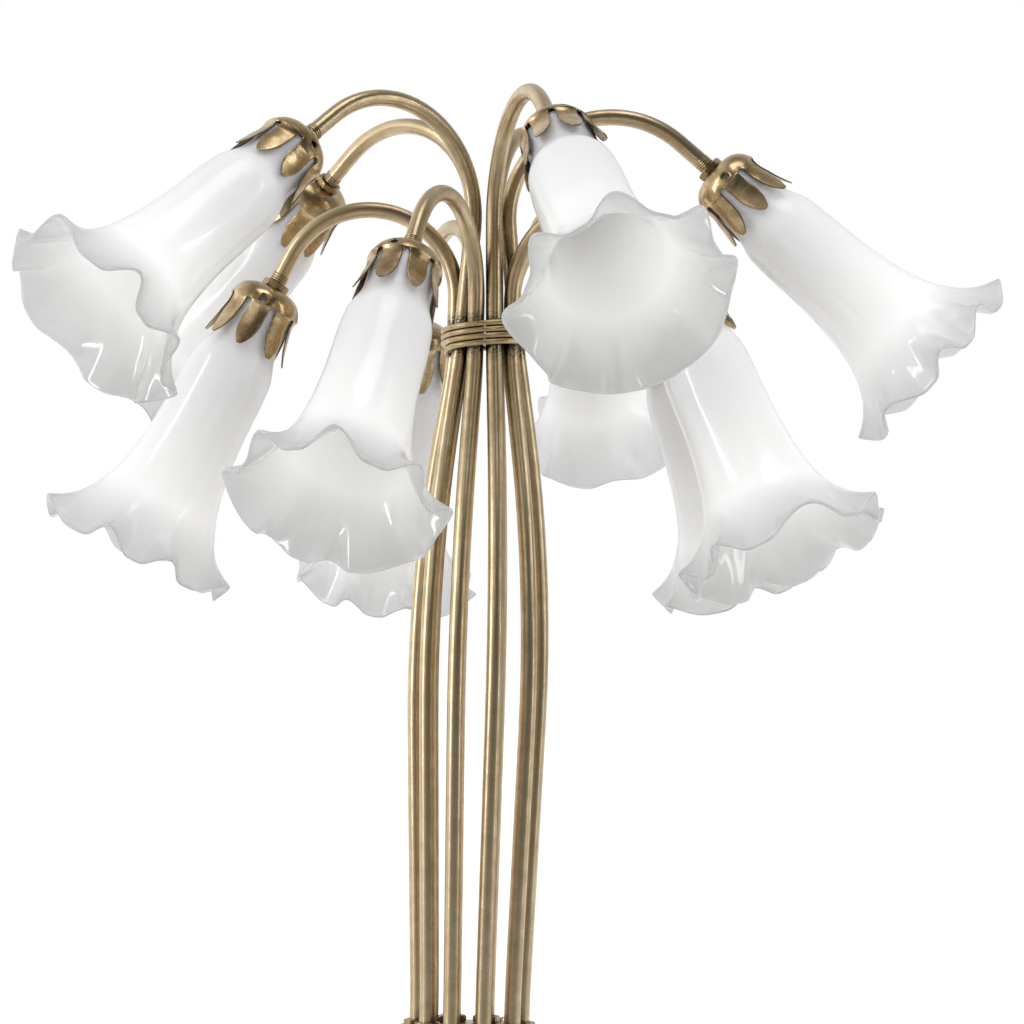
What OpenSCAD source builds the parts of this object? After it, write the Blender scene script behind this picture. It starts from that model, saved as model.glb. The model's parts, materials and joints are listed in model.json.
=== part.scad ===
// Lily accent lamp: ten bent brass tubes rise from a weighted base, are tied
// together with a wire wrap below their arches, and each carries a lily shade
// that hangs from a sepal cap. Millimetres, +Z up, origin at the middle of the
// foot, on the surface that the lamp stands on.

/* [Stems] */
// Number of stems, half of them tall
stem_count = 10; // [6:2:12]
// Outer diameter of the stem tube
tube_d = 9.5; // [8:0.5:11]
// Wall of the stem tube
tube_wall = 1.2; // [0.8:0.1:1.6]
// Height of the middle of the wire tie
tie_z = 443; // [400:1:480]
// Free space between neighbouring stems at the tie
tie_gap = 1.7; // [1.2:0.1:3]
// Distance of the stems from the lamp's axis where they enter the base
foot_ring_r = 30.1; // [29:0.1:34]
// Angle at which the stems spread above the base
spread = 2; // [1:0.5:3]
// Angle at which the stems close in towards the tie
close_in = 8.8; // [7:0.1:11]
// Inward lean of the tall stems above the tie
tall_lean = 5.2; // [3:0.1:7]
// Straight run of a tall stem above the tie
tall_rise = 70.5; // [50:0.5:90]
// Radius of a tall stem's arch
tall_arch_r = 60.5; // [45:0.5:70]
// Turn of a tall stem's arch
tall_turn = 136; // [125:1:145]
// Straight run from a tall stem's arch to its lock nut
tall_drop = 24.5; // [18:0.5:40]
// Straight run of a short stem above the tie
short_rise = 26.5; // [18:0.5:40]
// Radius of a short stem's arch
short_arch_r = 51.5; // [40:0.5:56]
// Turn of a short stem's arch
short_turn = 153; // [140:1:160]
// Straight run from a short stem's arch to its lock nut
short_drop = 19.5; // [16:0.5:30]

/* [Tie wire] */
// Diameter of the tie wire
wire_d = 3.1; // [2:0.1:4]
// Height that one turn of the tie wire takes
wire_pitch = 3.7; // [3.6:0.1:6]
// Turns of the tie wire
wire_turns = 3.6; // [3:0.1:6]
// Slant of the wound tie, up towards +X
tie_slant = 4.6; // [0:0.2:6]

/* [Lock nuts] */
// Width of a lock nut across its flats
nut_flats = 14; // [13:0.5:15]
// Thickness of a lock nut
nut_h = 4; // [3:0.5:5]
// Radial gap between a nut and its tube
thread_gap = 0.15; // [0.1:0.05:0.3]

/* [Sepal cap] */
// Widest radius of the dome
cap_r = 21; // [20.8:0.1:23]
// Height of the dome, from its crown to its widest part
cap_dome_h = 12; // [10:0.5:14]
// Radius of the flat crown
crown_r = 8; // [7:0.5:10]
// Sheet thickness
cap_wall = 0.8; // [0.6:0.1:1]
// Number of sepals
sepals = 8; // [6:1:9]
// Length of the cap, from its crown to the sepal tips
cap_length = 39; // [36:0.5:44]
// Distance from the crown to the root of the slots
slot_root = 14.5; // [13:0.5:18]
// Width of a slot at its root
slot_w = 3.4; // [2.5:0.1:4]
// Outward flare of the sepal tips
sepal_flare = 3; // [1:0.5:5]
// How long a sepal stays broad before it tapers, as the power of its curve
sepal_breadth = 5; // [2:0.5:7]
// Width of a sepal's blunt tip
sepal_tip_w = 2.5; // [1:0.5:4]
// Diameter of the vent holes
vent_d = 4.4; // [3:0.1:5]
// Number of vent holes
vents = 4; // [2:1:4]

/* [Glass shade] */
// Thickness of the glass
glass_wall = 2.6; // [2:0.1:3]
// Radius of the neck inside the cap
neck_r = 18.8; // [18:0.1:19.4]
// Radius of the tube below the neck
tube_r = 24.6; // [23:0.1:27]
// Radius where the bell starts to open
bell_r = 29.5; // [28:0.1:33]
// Mean radius of the rim
rim_r = 59.5; // [50:0.5:62]
// Length of the shade from its collar to the middle of the rim
shade_length = 161; // [146:1:170]
// Lobes round the rim
lobes = 8; // [6:1:10]
// How far the lobes swing in and out
ruffle_out = 6; // [2:0.5:8]
// How far the lobes swing along the shade's axis
ruffle_along = 8; // [3:0.5:10]

/* [Socket and bulb] */
// Outer radius of the socket
socket_r = 13; // [12.5:0.1:13.5]
// Length of the socket body below the collar shoulder
socket_length = 30; // [26:0.5:34]
// Radius of the bulb's screw cap
bulb_cap_r = 6.2; // [5.8:0.1:6.8]
// Radius of the bulb's globe
globe_r = 14; // [12.5:0.5:16]
// Length of the bulb beyond the socket
bulb_length = 48; // [44:0.5:54]

/* [Base] */
// Outer radius of the base
base_r = 118; // [116:1:135]
// Height of the base's flat top
base_h = 45; // [43:0.5:50]
// Sheet thickness of the base shell
base_wall = 1.5; // [1.2:0.1:2]
// Radius of the raised top
top_r = 45; // [44.5:0.5:50]
// Height of the step where the foot begins
foot_h = 18; // [17:0.5:20]
// Thickness of the felt pad
felt_h = 2; // [1.5:0.5:3]
// Thickness of the steel plate that the stems are clamped to
plate_h = 3; // [2:0.5:4]
// Radius of the weight's disc
weight_r = 82; // [70:1:83]
// Height of the weight's disc
weight_h = 13; // [10:0.5:14]
// Radius of the weight's hub
hub_r = 18; // [14:0.5:20]
// Radius of the hole for the cord
inlet_r = 3.3; // [3:0.1:3.5]

/* [Fits] */
// Gap between pieces that move against each other, and round the glass
gap = 0.3; // [0.2:0.05:0.4]
// Gap between a lock nut and the cap that turns under it
turn_gap = 0.2; // [0.1:0.05:0.3]

/* [Hidden] */
$fn = 64;
BRASS = [0.62, 0.49, 0.27];
DARK_BRASS = [0.4, 0.31, 0.18];
GLASS = [0.95, 0.96, 0.96, 0.7];

tube_r_out = tube_d / 2;
tube_bore_r = tube_r_out - tube_wall;
step_angle = 360 / stem_count;
// The stems stand side by side round the tie
tie_r = (tube_d + tie_gap) / 2 / sin(step_angle / 2);

// Each stem's place round the lamp and turn of its arch differ a little, as
// hand-bent tubes do: degrees added to the even step and to the arch's turn
HAND_TURN = [-1.5, -1.6, -0.6, 1.7, -3.4, 0.3, 1.4, -1.8, -2.3, 1.3];
HAND_BEND = [-0.7, 1.3, 6.2, 4.8, -0.8, 0.9, -0.6, -6.2, -1.6, 0];

function two(i) = i < 9 ? str("0", i + 1) : str(i + 1);
function stem_azimuth(i) = i * step_angle + HAND_TURN[i % len(HAND_TURN)];
function is_tall(i) = i % 2 == 0;

// A stem's centre line is a list of runs in its own upright plane. Each run is
// [length, radius, turn]: a straight one has turn 0, and an arc has length 0
// and turns outward where its turn is positive.
spread_r = 600;
bulge_r = 900;
tie_bend_r = 160;
// A stem's thread shows this far past its foot nuts, below and above
thread_below = 2.5;
thread_above = 3;
stem_foot_z = base_h - base_wall - plate_h - nut_h - thread_below;
foot_run = base_h + nut_h + thread_above - stem_foot_z;

function straight(l) = [l, 0, 0];
function arc(r, turn) = [0, r, turn];
// How far an arc that starts at heading h moves outward and upward
function arc_out(r, h, turn) = sign(turn) * r * (cos(h) - cos(h + turn));
function arc_up(r, h, turn) = sign(turn) * r * (sin(h + turn) - sin(h));

function tie_heading(i) = is_tall(i) ? -tall_lean : 0;
// The two straight runs below the tie are as long as the tie's place asks
function need_out(i) = tie_r - foot_ring_r - arc_out(spread_r, 0, spread)
    - arc_out(bulge_r, spread, -spread - close_in)
    - arc_out(tie_bend_r, -close_in, close_in + tie_heading(i));
function need_up(i) = tie_z - stem_foot_z - foot_run - arc_up(spread_r, 0, spread)
    - arc_up(bulge_r, spread, -spread - close_in)
    - arc_up(tie_bend_r, -close_in, close_in + tie_heading(i));
function lower_run(i) =
    (need_out(i) * cos(close_in) + need_up(i) * sin(close_in)) / sin(spread + close_in);
function upper_run(i) =
    (need_up(i) * sin(spread) - need_out(i) * cos(spread)) / sin(spread + close_in);

function arch_turn(i) =
    (is_tall(i) ? tall_turn : short_turn) + HAND_BEND[i % len(HAND_BEND)];
// The last run goes on through the lock nut by the length given
function stem_runs(i, thread = 0) = [
    straight(foot_run),
    arc(spread_r, spread),
    straight(lower_run(i)),
    arc(bulge_r, -spread - close_in),
    straight(upper_run(i)),
    arc(tie_bend_r, close_in + tie_heading(i)),
    straight(is_tall(i) ? tall_rise : short_rise),
    arc(is_tall(i) ? tall_arch_r : short_arch_r, arch_turn(i)),
    straight((is_tall(i) ? tall_drop : short_drop) + thread)
];

// [radius, height, heading] after the first n runs
function stem_at(i, n) = n == 0 ? [foot_ring_r, stem_foot_z, 0]
    : let (p = stem_at(i, n - 1), s = stem_runs(i)[n - 1])
      s[2] == 0 ? [p[0] + s[0] * sin(p[2]), p[1] + s[0] * cos(p[2]), p[2]]
      : [p[0] + arc_out(s[1], p[2], s[2]), p[1] + arc_up(s[1], p[2], s[2]), p[2] + s[2]];
function head_at(i) = stem_at(i, len(stem_runs(i)));

// Distances along a head's own axis, from the middle of its lock nut
crown_s = nut_h / 2 + turn_gap;
socket_top_s = crown_s + cap_wall + gap;
collar_s = crown_s + cap_dome_h;
shoulder_h = 2;
shoulder_out = 2.5;
socket_hub_h = 5;
// The tube's thread in the socket, and the block that holds the contacts
socket_thread = 9;
contact_block = 8;
lead_hole_r = 2;
tube_end_s = socket_top_s + socket_thread;
bulb_floor_s = tube_end_s + contact_block;
ring_h = 3;
ring_r = neck_r - glass_wall - gap;
ring_s = collar_s + glass_wall + gap;
socket_end_s = collar_s + socket_length;
bore_r = bulb_cap_r + gap;

// A straight run laps over the bends at its ends and is a hair thicker there,
// so that the whole tube is one solid
lap = 0.5;
lap_skin = 0.03;

module tube_section(skin) {
    difference() {
        circle(r = tube_r_out + skin);
        circle(r = tube_bore_r - skin);
    }
}

module straight_run(l, lap_below, lap_above) {
    translate([0, 0, -lap_below])
        linear_extrude(height = l + lap_below + lap_above)
            tube_section(lap_skin);
}

// An arc of tube that starts upright at the origin and turns towards +X
module arc_run(r, turn) {
    translate([r, 0, 0])
        rotate([90, 0, 0])
            rotate([0, 0, 180 - turn])
                rotate_extrude(angle = turn, $fn = 180)
                    translate([r, 0])
                        tube_section(0, $fn = 48);
}

// Draws runs n onwards, each from the end of the one before
module runs_from(runs, n) {
    if (n < len(runs)) {
        s = runs[n];
        if (s[2] == 0) {
            straight_run(s[0], n > 0 ? lap : 0, n < len(runs) - 1 ? lap : 0);
            translate([0, 0, s[0]])
                runs_from(runs, n + 1);
        } else {
            if (s[2] > 0) {
                arc_run(s[1], s[2]);
            } else {
                mirror([1, 0, 0])
                    arc_run(s[1], -s[2]);
            }
            translate([arc_out(s[1], 0, s[2]), 0, arc_up(s[1], 0, s[2])])
                rotate([0, s[2], 0])
                    runs_from(runs, n + 1);
        }
    }
}

// One bent tube, from its thread below the plate to its thread in the socket
module stem(i) {
    color(BRASS)
        rotate([0, 0, stem_azimuth(i)])
            translate([foot_ring_r, 0, stem_foot_z])
                runs_from(stem_runs(i, tube_end_s), 0);
}

// Places a head's pieces, drawn along +Z, at the end of their stem
module at_head(i) {
    p = head_at(i);
    rotate([0, 0, stem_azimuth(i)])
        translate([p[0], 0, p[1]])
            rotate([0, p[2], 0])
                children();
}

// The skirt draws in a little below the dome, over this length
waist_in = 0.5;
waist_length = 12;
// Radius of the cap's outside at distance s below its crown
function cap_out_r(s) = s <= cap_dome_h
    ? crown_r + (cap_r - crown_r) * sqrt(1 - pow(1 - s / cap_dome_h, 2))
    : cap_r - waist_in * sin(180 * min(1, (s - cap_dome_h) / waist_length))
      + sepal_flare * pow((s - cap_dome_h) / (cap_length - cap_dome_h), 2);

dome_steps = 9;
sepal_steps = 6;
function cap_stations() = concat(
    [for (k = [0:dome_steps]) cap_dome_h * (1 - cos(90 * k / dome_steps))],
    [for (k = [1:sepal_steps]) cap_dome_h + (cap_length - cap_dome_h) * k / sepal_steps]
);

module cap_section() {
    stations = cap_stations();
    outside = [for (s = stations) [cap_out_r(s), s]];
    inside = [for (s = stations) [cap_out_r(s) - cap_wall, max(s, cap_wall)]];
    n = len(stations);
    polygon(concat(
        [[tube_r_out + gap, 0]],
        outside,
        [for (k = [n - 1:-1:1]) inside[k]],
        [[crown_r, cap_wall], [tube_r_out + gap, cap_wall]]
    ));
}

// Cutters reach this far past what they cut
over = 1;
// Outline of the opening between two sepals, across and along the cap
slot_steps = 8;
module slot_outline() {
    tip_half_w = PI * (cap_r + sepal_flare) / sepals - sepal_tip_w / 2;
    run = cap_length - slot_root;
    function half_w(t) = slot_w / 2 + (tip_half_w - slot_w / 2) * pow(t, sepal_breadth);
    polygon(concat(
        [for (k = [0:slot_steps]) [half_w(k / slot_steps), slot_root + run * k / slot_steps]],
        [[tip_half_w, cap_length + over], [-tip_half_w, cap_length + over]],
        [for (k = [slot_steps:-1:0]) [-half_w(k / slot_steps), slot_root + run * k / slot_steps]]
    ));
    translate([0, slot_root])
        circle(r = slot_w / 2, $fn = 24);
}

// The cutters of slots and vents start inside the cap and pass through its side
cutter_r = cap_r - 8;
cutter_length = 20;
// The vents lie this far above the dome's widest part
vent_rise = 3;
// Pressed brass cap: a dome that ends in blunt sepals, with vent holes
module sepal_cap(i) {
    color(BRASS)
        at_head(i)
            translate([0, 0, crown_s])
                difference() {
                    rotate_extrude()
                        cap_section();
                    for (k = [0:sepals - 1]) {
                        rotate([0, 0, (k + 0.5) * 360 / sepals])
                            translate([cutter_r, 0, 0])
                                rotate([90, 0, 90])
                                    linear_extrude(height = cutter_length)
                                        slot_outline();
                    }
                    for (k = [0:vents - 1]) {
                        rotate([0, 0, k * 360 / vents])
                            translate([cutter_r, 0, cap_dome_h - vent_rise])
                                rotate([0, 90, 0])
                                    cylinder(d = vent_d, h = cutter_length);
                    }
                }
}

// Outside of the glass as [distance below the collar, radius], neck to rim
function glass_line() = [
    [0, neck_r],
    [shade_length * 0.145, neck_r + 0.6],
    [shade_length * 0.25, tube_r],
    [shade_length * 0.54, tube_r + 2.1],
    [shade_length * 0.75, bell_r + 2.6],
    [shade_length * 0.887, bell_r + 13],
    [shade_length, rim_r]
];
// Unit normal of the line at point k, out of the glass
function line_normal(line, k) =
    let (a = line[max(k - 1, 0)], b = line[min(k + 1, len(line) - 1)], d = b - a)
    [-d[1], d[0]] / norm(d);
// Share of the shade's length where the ruffle starts, and how fast it grows
ruffle_from = 0.68;
ruffle_growth = 1.6;
// Share of the ruffle that reaches distance s
function ruffle_share(s) =
    pow(max(0, (s / shade_length - ruffle_from) / (1 - ruffle_from)), ruffle_growth);

around = 6 * lobes;
// The closed section: collar hole, outside down to the rim, inside back up
function glass_section() =
    let (
        line = glass_line(),
        n = len(line),
        inner = [for (k = [n - 1:-1:1]) line[k] - glass_wall * line_normal(line, k)],
        hole_r = socket_r + gap
    )
    concat(
        [[0, hole_r]],
        line,
        inner,
        [[glass_wall, neck_r - glass_wall], [glass_wall, hole_r]]
    );
function glass_point(p, a, share) =
    let (
        swing = share * cos(lobes * a),
        r = p[1] + ruffle_out * swing,
        s = p[0] - ruffle_along * swing
    )
    [r * cos(a), r * sin(a), s];

// Blown glass bell with a ruffled rim, open below and round the socket above
module glass_shade(i) {
    section = glass_section();
    line = glass_line();
    m = len(section);
    n = len(line);
    shares = [for (k = [0:m - 1])
        k == 0 || k > m - 3 ? 0
        : ruffle_share(k <= n ? line[k - 1][0] : line[2 * n - k][0])];
    points = [for (j = [0:around - 1], k = [0:m - 1])
        glass_point(section[k], 360 * j / around, shares[k])];
    faces = [for (j = [0:around - 1], k = [0:m - 1])
        let (j2 = (j + 1) % around, k2 = (k + 1) % m)
        each [
            [j * m + k, j2 * m + k, j2 * m + k2],
            [j * m + k, j2 * m + k2, j * m + k2]
        ]];
    color(GLASS)
        at_head(i)
            translate([0, 0, collar_s])
                polyhedron(points = points, faces = faces, convexity = 6);
}

// Lamp socket on the tube's thread, with the ring that holds the glass
module socket(i) {
    color("ivory")
        at_head(i) {
            difference() {
                union() {
                    translate([0, 0, socket_top_s])
                        cylinder(r = crown_r, h = socket_hub_h + over);
                    translate([0, 0, socket_top_s + socket_hub_h])
                        cylinder(r = socket_r, h = socket_end_s - socket_top_s - socket_hub_h);
                    translate([0, 0, collar_s - gap - shoulder_h])
                        cylinder(r = socket_r + shoulder_out, h = shoulder_h);
                }
                translate([0, 0, socket_top_s - over])
                    cylinder(r = tube_r_out + gap, h = tube_end_s - socket_top_s + over + gap);
                translate([0, 0, tube_end_s])
                    cylinder(r = lead_hole_r, h = bulb_floor_s - tube_end_s + over);
                translate([0, 0, bulb_floor_s])
                    cylinder(r = bore_r, h = socket_end_s - bulb_floor_s + over);
            }
            translate([0, 0, ring_s])
                difference() {
                    cylinder(r = ring_r, h = ring_h);
                    translate([0, 0, -over])
                        cylinder(r = socket_r + thread_gap, h = ring_h + 2 * over);
                }
        }
}

// Small globe bulb with its screw cap
module bulb(i) {
    cap_end_s = socket_end_s + 1;
    globe_s = socket_end_s + bulb_length - globe_r;
    neck_length = globe_s - cap_end_s;
    // The neck's cone is tangent to a ball a hair smaller than the globe
    cone_r = globe_r - 0.1;
    neck_angle = asin(cone_r / norm([neck_length, bulb_cap_r])) - atan2(bulb_cap_r, neck_length);
    color("gainsboro")
        at_head(i) {
            translate([0, 0, bulb_floor_s + gap])
                cylinder(r = bulb_cap_r, h = cap_end_s - bulb_floor_s - gap);
            translate([0, 0, cap_end_s])
                cylinder(
                    r1 = bulb_cap_r,
                    r2 = cone_r * cos(neck_angle),
                    h = neck_length - cone_r * sin(neck_angle)
                );
            translate([0, 0, globe_s])
                sphere(r = globe_r);
        }
}

// The tie is one wire wound round the stems, 24 rings of 6 sides to a turn, and
// the whole winding slants
wire_rings = 24;
wire_sides = 6;
// The middle of the winding lies this far above the middle of the tie
wire_rise = 4.9;
wire_path_r = (tie_r + tube_r_out + gap + wire_d / 2) / cos(180 / wire_rings);
wire_steps = round(wire_turns * wire_rings);
wire_start_z = tie_z + wire_rise - wire_pitch * wire_turns / 2;
tie_start_angle = 218;
function wire_ring(k) =
    let (
        a = tie_start_angle + 360 * k / wire_rings,
        z = wire_start_z + wire_pitch * k / wire_rings
    )
    [for (m = [0:wire_sides - 1])
        let (
            t = 360 * (m + 0.5) / wire_sides,
            r = wire_path_r + wire_d / 2 * cos(t)
        )
        [r * cos(a), r * sin(a), z + r * cos(a) * tan(tie_slant) + wire_d / 2 * sin(t)]];
wire_points = [for (k = [0:wire_steps]) each wire_ring(k)];
wire_faces = concat(
    [[for (m = [0:wire_sides - 1]) m]],
    [for (k = [0:wire_steps - 1], m = [0:wire_sides - 1])
        let (
            m2 = (m + 1) % wire_sides,
            a = k * wire_sides + m,
            b = k * wire_sides + m2,
            c = a + wire_sides,
            d = b + wire_sides
        )
        each [[a, c, d], [a, d, b]]],
    [[for (m = [wire_sides - 1:-1:0]) wire_steps * wire_sides + m]]
);
// Least distance between the surfaces of one turn and the next, on ring points
wire_self_gap = min([for (k = [0:wire_steps - wire_rings])
    for (p = wire_ring(k), q = wire_ring(k + wire_rings)) norm(p - q)]);
echo(tie_wire_least_gap = wire_self_gap);

module tie_wire() {
    color(DARK_BRASS)
        polyhedron(points = wire_points, faces = wire_faces, convexity = 8);
}

module nut(h) {
    difference() {
        cylinder(d = nut_flats / cos(30), h = h, $fn = 6);
        translate([0, 0, -over])
            cylinder(r = tube_r_out + thread_gap, h = h + 2 * over);
    }
}

// The lock nuts on the stems' threads, each tight against its cap
module head_nuts() {
    color(DARK_BRASS)
        for (i = [0:stem_count - 1]) {
            at_head(i)
                translate([0, 0, -nut_h / 2])
                    nut(nut_h);
        }
}

// Two nuts to a stem clamp the base shell and the plate between them
module foot_nuts() {
    color(DARK_BRASS)
        for (i = [0:stem_count - 1]) {
            rotate([0, 0, stem_azimuth(i)])
                for (z = [base_h, base_h - base_wall - plate_h - nut_h]) {
                    translate([foot_ring_r, 0, z])
                        nut(nut_h);
                }
        }
}

module stem_holes(h) {
    for (i = [0:stem_count - 1]) {
        rotate([0, 0, stem_azimuth(i)])
            translate([foot_ring_r, 0, 0])
                cylinder(r = tube_r_out + thread_gap, h = h);
    }
}

// Points of an arc about [x, y], from angle a to angle b
function arc_points(x, y, r, a, b) =
    let (n = max(3, ceil(abs(b - a) / 11)))
    [for (k = [0:n]) [x + r * cos(a + (b - a) * k / n), y + r * sin(a + (b - a) * k / n)]];

// Outline of the base, drawn t inside its surface: flat top, step, dome, foot
top_fillet = 5;
cove_r = 4;
dome_r = 130;
foot_cove_r = 10;
foot_fillet = 6;
dome_start = 8;
dome_x = top_r + cove_r - (cove_r + dome_r) * sin(dome_start);
cove_z = base_h - top_fillet - 4;
dome_z = cove_z - (cove_r + dome_r) * cos(dome_start);
// The dome ends where its cove meets the level of the foot
dome_end = acos((foot_h + foot_cove_r - dome_z) / (dome_r + foot_cove_r));
foot_x = dome_x + (dome_r + foot_cove_r) * sin(dome_end);
function base_line(t, floor_z) = concat(
    [[0, floor_z], [0, base_h - t]],
    arc_points(top_r - top_fillet, base_h - top_fillet, top_fillet - t, 90, 0),
    arc_points(top_r + cove_r, cove_z, cove_r + t, 180, 270 - dome_start),
    arc_points(dome_x, dome_z, dome_r - t, 90 - dome_start, 90 - dome_end),
    arc_points(foot_x, foot_h + foot_cove_r, foot_cove_r + t, 270 - dome_end, 270),
    arc_points(base_r - foot_fillet, foot_h - foot_fillet, foot_fillet - t, 90, 0),
    [[base_r - t, floor_z]]
);

// The inlet in the foot's upright edge, and the bushing that lines it
inlet_rise = 6.5;
inlet_z = felt_h + inlet_rise;
bushing_wall = 1.2;
bushing_r = inlet_r + bushing_wall;
bushing_in = 4;
flange_h = 1.8;
flange_out = 1;

// Spun brass base, open underneath
module base_shell() {
    color(BRASS)
        difference() {
            rotate_extrude()
                polygon(base_line(0, felt_h));
            rotate_extrude()
                polygon(base_line(base_wall, felt_h - over));
            stem_holes(base_h + over);
            translate([0, base_r - foot_fillet, inlet_z])
                rotate([-90, 0, 0])
                    cylinder(r = bushing_r + thread_gap, h = foot_fillet + over);
        }
}

// The plate stays clear of the top's rounded edge
plate_r = top_r - top_fillet - over;
bolt_r = 4;
// Steel plate under the top, which the stems, the shell and the weight share
module stem_plate() {
    color("silver")
        translate([0, 0, base_h - base_wall - plate_h])
            difference() {
                cylinder(r = plate_r, h = plate_h);
                translate([0, 0, -over])
                    stem_holes(plate_h + 2 * over);
                translate([0, 0, -over])
                    cylinder(r = bolt_r + thread_gap, h = plate_h + 2 * over);
            }
}

bolt_head_r = 7;
bolt_head_h = 5;
// Cast iron weight: a disc with a hub that reaches the plate
module base_weight() {
    hub_top = base_h - base_wall - plate_h;
    color("dimgray")
        difference() {
            union() {
                translate([0, 0, felt_h])
                    cylinder(r = weight_r, h = weight_h);
                translate([0, 0, felt_h])
                    cylinder(r = hub_r, h = hub_top - felt_h);
            }
            translate([0, 0, felt_h - over])
                cylinder(r = bolt_r + gap, h = hub_top);
            translate([0, 0, felt_h - over])
                cylinder(r = bolt_head_r + gap, h = bolt_head_h + 2 * over);
        }
}

// Bolt that draws the weight up against the plate
module weight_bolt() {
    color("silver") {
        translate([0, 0, felt_h + over])
            cylinder(r = bolt_head_r, h = bolt_head_h, $fn = 6);
        translate([0, 0, felt_h + bolt_head_h])
            cylinder(r = bolt_r, h = base_h - base_wall - felt_h - bolt_head_h - gap);
    }
}

// Felt that carries the lamp, set in a little from the shell's edge
felt_inset = 1;
module felt_pad() {
    color("darkgreen")
        cylinder(r = base_r - felt_inset, h = felt_h);
}

// Insulating bushing that lines the hole for the cord at the back
module cord_bushing() {
    color("black")
        translate([0, base_r, inlet_z])
            rotate([-90, 0, 0])
                difference() {
                    union() {
                        translate([0, 0, -base_wall - bushing_in])
                            cylinder(r = bushing_r, h = base_wall + bushing_in + over);
                        cylinder(r = bushing_r + flange_out, h = flange_h);
                    }
                    translate([0, 0, -base_wall - bushing_in - over])
                        cylinder(r = inlet_r, h = base_wall + bushing_in + flange_h + 2 * over);
                }
}

for (i = [0:stem_count - 1]) {
    stem(i);
    sepal_cap(i);
    glass_shade(i);
    socket(i);
    bulb(i);
}
tie_wire();
head_nuts();
foot_nuts();
base_shell();
stem_plate();
base_weight();
weight_bolt();
felt_pad();
cord_bushing();
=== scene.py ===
# %% [markdown]
# # Dressing a lily lamp
# The lamp's pieces come from a CAD model, at their real size and in their real places. This notebook
# gives them their finishes and rebuilds the few that a photograph shows finer than CAD draws them:
# the blown glass, the pressed caps, the wire tie, the nuts and the bulbs. Blender never moves a CAD
# piece. It only paints it, or hides it behind a finer one that rides on the same body.

# %% Load the frame
import json
import math
import random

import bmesh
import bpy
from mathutils import Matrix, Vector


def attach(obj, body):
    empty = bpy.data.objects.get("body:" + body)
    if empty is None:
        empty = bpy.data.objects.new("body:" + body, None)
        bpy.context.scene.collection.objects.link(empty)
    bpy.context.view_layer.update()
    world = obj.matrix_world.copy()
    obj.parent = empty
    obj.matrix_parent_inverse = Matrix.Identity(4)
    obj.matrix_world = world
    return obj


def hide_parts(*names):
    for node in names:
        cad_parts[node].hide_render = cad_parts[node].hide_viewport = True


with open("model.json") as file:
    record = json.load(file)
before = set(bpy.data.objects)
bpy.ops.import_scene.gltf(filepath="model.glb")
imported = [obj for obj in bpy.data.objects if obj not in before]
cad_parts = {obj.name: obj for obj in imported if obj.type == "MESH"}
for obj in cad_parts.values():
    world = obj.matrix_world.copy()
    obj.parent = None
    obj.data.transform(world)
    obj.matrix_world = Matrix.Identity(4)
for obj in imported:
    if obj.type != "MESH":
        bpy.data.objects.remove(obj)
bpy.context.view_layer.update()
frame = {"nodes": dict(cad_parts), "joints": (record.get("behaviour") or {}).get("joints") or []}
NODES = frame["nodes"]
MM = 0.001

# %% [markdown]
# # The camera
# A product photographer stands well back and uses a long lens, so that near shades don't look larger
# than far ones. One could aim a camera by eye. Here its place comes from the photograph itself: a
# small fit of the tubes' known sizes gave the distance, the height and a slight roll. The camera's own
# axes are written into its matrix, because a roll is easiest to state as two turned axes.

# %% Camera
CAMERA_AT = Vector((0.01771, -1.8287, 0.240))
CAMERA_AIM = Vector((0.01771, 0.0, 0.3448))
CAMERA_ROLL = math.radians(1.35)
LENS_MM = 109.9
SENSOR_MM = 36.0


def camera_axes(at, aim, roll):
    """The camera's right, up and backward axes as a matrix."""
    forward = (aim - at).normalized()
    right = forward.cross(Vector((0, 0, 1))).normalized()
    up = right.cross(forward)
    rolled_right = right * math.cos(roll) + up * math.sin(roll)
    rolled_up = up * math.cos(roll) - right * math.sin(roll)
    return Matrix((rolled_right, rolled_up, -forward)).transposed()


def make_camera():
    data = bpy.data.cameras.new("photographer")
    data.lens = LENS_MM
    data.sensor_width = SENSOR_MM
    data.dof.use_dof = False
    camera = bpy.data.objects.new("photographer", data)
    bpy.context.scene.collection.objects.link(camera)
    axes = camera_axes(CAMERA_AT, CAMERA_AIM, CAMERA_ROLL)
    camera.matrix_world = Matrix.Translation(CAMERA_AT) @ axes.to_4x4()
    bpy.context.scene.camera = camera


make_camera()
print("camera", round((CAMERA_AT - CAMERA_AIM).length, 3), "m away, lens", LENS_MM, "mm")

# %% [markdown]
# # Nodes and colours
# A material is a small graph. Every node in it is added by one helper that takes the node's kind, its
# inputs (a number, or the socket that feeds it) and its settings. Colours are written as the hex
# values that a paint program shows, and one function turns them to the linear light Blender counts in.


# %% Node and colour helpers
def linear(hex_colour, alpha=1.0):
    """A hex colour as linear red, green, blue and alpha."""
    parts = [int(hex_colour[i : i + 2], 16) / 255 for i in (1, 3, 5)]
    light = [p / 12.92 if p <= 0.04045 else ((p + 0.055) / 1.055) ** 2.4 for p in parts]
    return (*light, alpha)


def add_node(tree, kind, inputs=None, **settings):
    """Adds a node, applies its settings, and sets or links its inputs."""
    node = tree.nodes.new(kind)
    for name, value in settings.items():
        setattr(node, name, value)
    for key, value in (inputs or {}).items():
        if isinstance(value, bpy.types.NodeSocket):
            tree.links.new(value, node.inputs[key])
        else:
            node.inputs[key].default_value = value
    return node


def mix_colour(tree, factor, a, b):
    """Colour a where the factor is 0 and b where it is 1."""
    node = add_node(tree, "ShaderNodeMix", {0: factor, 6: a, 7: b}, data_type="RGBA")
    return node.outputs[2]


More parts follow.
